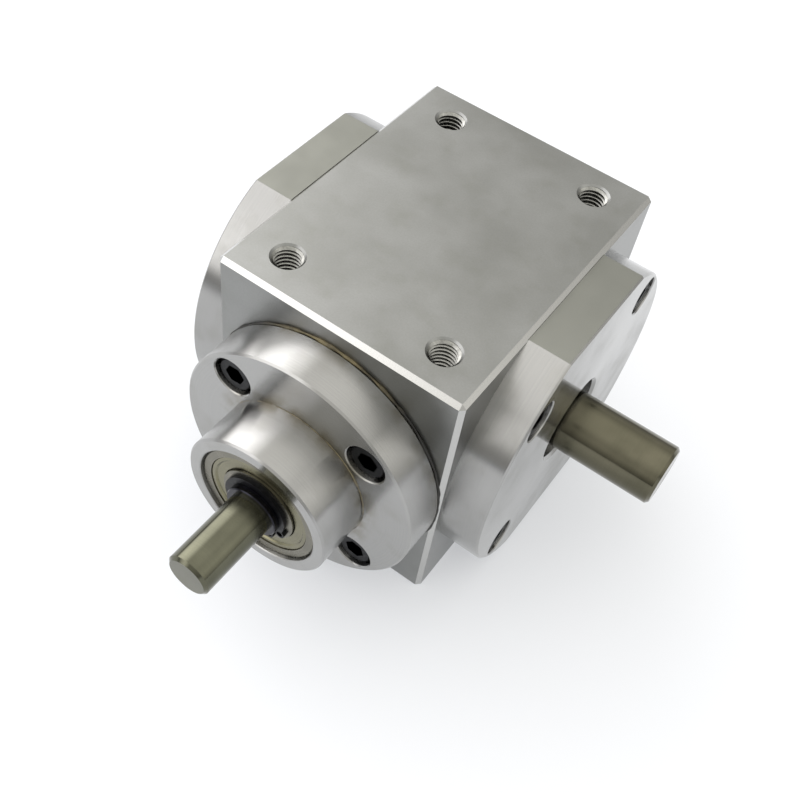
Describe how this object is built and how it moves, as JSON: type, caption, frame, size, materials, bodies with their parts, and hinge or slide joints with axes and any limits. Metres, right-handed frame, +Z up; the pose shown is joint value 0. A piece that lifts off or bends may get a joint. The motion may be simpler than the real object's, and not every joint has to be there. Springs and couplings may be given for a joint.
{
  "type": "right angle gearbox",
  "caption": "Right angle bevel gearbox: machined block, hub flange with the input shaft, round side covers, output shaft square to the input.",
  "frame": {"origin": "middle of the four threaded holes in the base, on the base face", "axes": "+Z up, +X along the output shaft outwards, -Y along the input shaft outwards; both shaft axes cross 41 mm above the origin"},
  "size_m": [0.1215, 0.1435, 0.082],
  "materials": {
    "milled_aluminium": "milled and bead blasted aluminium",
    "turned_aluminium": "turned and polished aluminium",
    "ground_steel": "ground steel, oiled",
    "bearing_steel": "ground bearing steel",
    "shield_steel": "pressed steel sheet",
    "cage_steel": "pressed steel",
    "gear_steel": "case hardened steel, oiled",
    "shim_steel": "plain steel",
    "black_oxide_steel": "black oxide",
    "nitrile_rubber": "smooth rubber"
  },
  "bodies": {
    "casing": {"housing": "milled_aluminium", "input_flange": "turned_aluminium", "input_flange_shim": "shim_steel", "input_flange_o_ring": "nitrile_rubber", "input_flange_screws": "black_oxide_steel", "output_cover": "turned_aluminium", "output_cover_o_ring": "nitrile_rubber", "output_cover_screws": "black_oxide_steel", "output_bearing_shim": "shim_steel", "blind_cover": "turned_aluminium", "blind_cover_o_ring": "nitrile_rubber", "blind_cover_screws": "black_oxide_steel", "blind_bearing_shim": "shim_steel", "input_outer_bearing_outer_ring": "bearing_steel", "input_outer_bearing_shields": "shield_steel", "input_inner_bearing_outer_ring": "bearing_steel", "output_bearing_outer_ring": "bearing_steel", "output_bearing_shields": "shield_steel", "blind_bearing_outer_ring": "bearing_steel"},
    "input_shaft_set": {"input_shaft": "ground_steel", "input_pinion": "gear_steel", "input_pinion_key": "shim_steel", "input_pinion_washer": "shim_steel", "input_pinion_screw": "black_oxide_steel", "input_bearing_sleeve": "shim_steel", "input_circlip": "black_oxide_steel", "input_outer_bearing_inner_ring": "bearing_steel", "input_inner_bearing_inner_ring": "bearing_steel"},
    "output_shaft_set": {"output_shaft": "ground_steel", "output_gear": "gear_steel", "output_gear_key": "shim_steel", "output_gear_spacer": "shim_steel", "output_bearing_inner_ring": "bearing_steel", "blind_bearing_inner_ring": "bearing_steel"},
    "input_outer_bearing_cage_set": {"input_outer_bearing_balls": "bearing_steel", "input_outer_bearing_cage": "cage_steel"},
    "input_inner_bearing_cage_set": {"input_inner_bearing_balls": "bearing_steel", "input_inner_bearing_cage": "cage_steel"},
    "output_bearing_cage_set": {"output_bearing_balls": "bearing_steel", "output_bearing_cage": "cage_steel"},
    "blind_bearing_cage_set": {"blind_bearing_balls": "bearing_steel", "blind_bearing_cage": "cage_steel"}
  },
  "joints": [
    {"name": "output_spin", "type": "hinge", "parent": "casing", "child": "output_shaft_set", "pos_m": [0.046, 0, 0.041], "axis": [1, 0, 0], "continuous": true},
    {"name": "input_spin", "type": "hinge", "parent": "casing", "child": "input_shaft_set", "pos_m": [0, -0.0735, 0.041], "axis": [0, -1, 0], "continuous": true},
    {"name": "input_outer_cage_spin", "type": "hinge", "parent": "casing", "child": "input_outer_bearing_cage_set", "pos_m": [0, -0.067, 0.041], "axis": [0, -1, 0], "continuous": true},
    {"name": "input_inner_cage_spin", "type": "hinge", "parent": "casing", "child": "input_inner_bearing_cage_set", "pos_m": [0, -0.0465, 0.041], "axis": [0, -1, 0], "continuous": true},
    {"name": "output_cage_spin", "type": "hinge", "parent": "casing", "child": "output_bearing_cage_set", "pos_m": [0.0365, 0, 0.041], "axis": [1, 0, 0], "continuous": true},
    {"name": "blind_cage_spin", "type": "hinge", "parent": "casing", "child": "blind_bearing_cage_set", "pos_m": [-0.0365, 0, 0.041], "axis": [1, 0, 0], "continuous": true}
  ],
  "couplings": [
    {"joint": "input_spin", "follows": "output_spin", "ratio": 1.5},
    {"joint": "input_outer_cage_spin", "follows": "output_spin", "ratio": 0.57141},
    {"joint": "input_inner_cage_spin", "follows": "output_spin", "ratio": 0.57141},
    {"joint": "output_cage_spin", "follows": "output_spin", "ratio": 0.38163},
    {"joint": "blind_cage_spin", "follows": "output_spin", "ratio": 0.38163}
  ]
}
